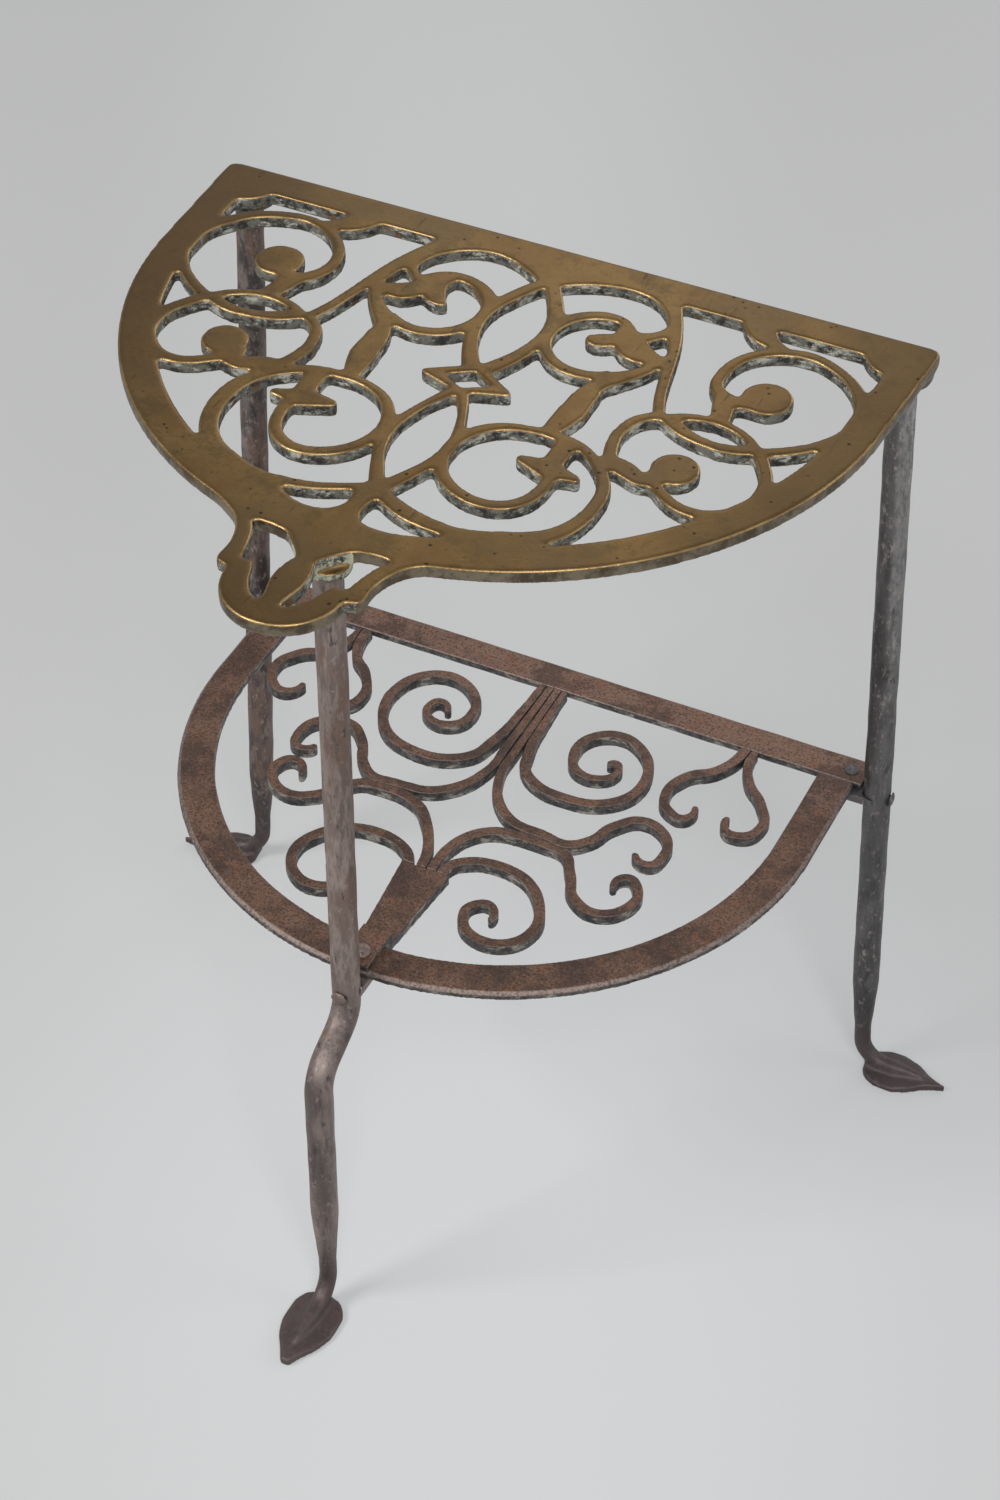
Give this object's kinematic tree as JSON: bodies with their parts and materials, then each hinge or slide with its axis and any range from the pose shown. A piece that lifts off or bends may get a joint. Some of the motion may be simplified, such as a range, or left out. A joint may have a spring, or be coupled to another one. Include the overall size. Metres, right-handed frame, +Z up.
{
  "type": "hearth trivet",
  "caption": "Hearth trivet: a pierced brass top with a flat front handle on round iron legs with leaf feet, and a scrolled iron shelf riveted between the legs.",
  "frame": {"origin": "on the floor, under the middle of the trivet's bounding box", "axes": "+Z up, +Y towards the straight back edge of the top, -Y towards the handle, +X to the right seen from the handle"},
  "size_m": [0.3558, 0.251, 0.353],
  "materials": {
    "brass": "aged and hand polished",
    "leg_iron": "worn dark wrought iron",
    "shelf_iron": "rusty brown wrought iron",
    "rivet_iron": "hammered iron"
  },
  "bodies": {
    "root": {"brass_top": "brass", "front_leg": "leg_iron", "left_leg": "leg_iron", "right_leg": "leg_iron", "shelf_rim": "shelf_iron", "shelf_rear_bar": "shelf_iron", "front_stem": "shelf_iron", "rear_branch_left": "shelf_iron", "rear_branch_right": "shelf_iron", "rear_scroll_left": "shelf_iron", "rear_scroll_right": "shelf_iron", "front_branch_left": "shelf_iron", "front_branch_right": "shelf_iron", "front_scroll_left": "shelf_iron", "front_scroll_right": "shelf_iron", "inner_corner_scroll_left": "shelf_iron", "inner_corner_scroll_right": "shelf_iron", "outer_corner_scroll_left": "shelf_iron", "outer_corner_scroll_right": "shelf_iron", "front_lug": "leg_iron", "left_lug": "leg_iron", "right_lug": "leg_iron", "shelf_rivets": "rivet_iron", "stem_rivet": "rivet_iron"}
  },
  "joints": []
}
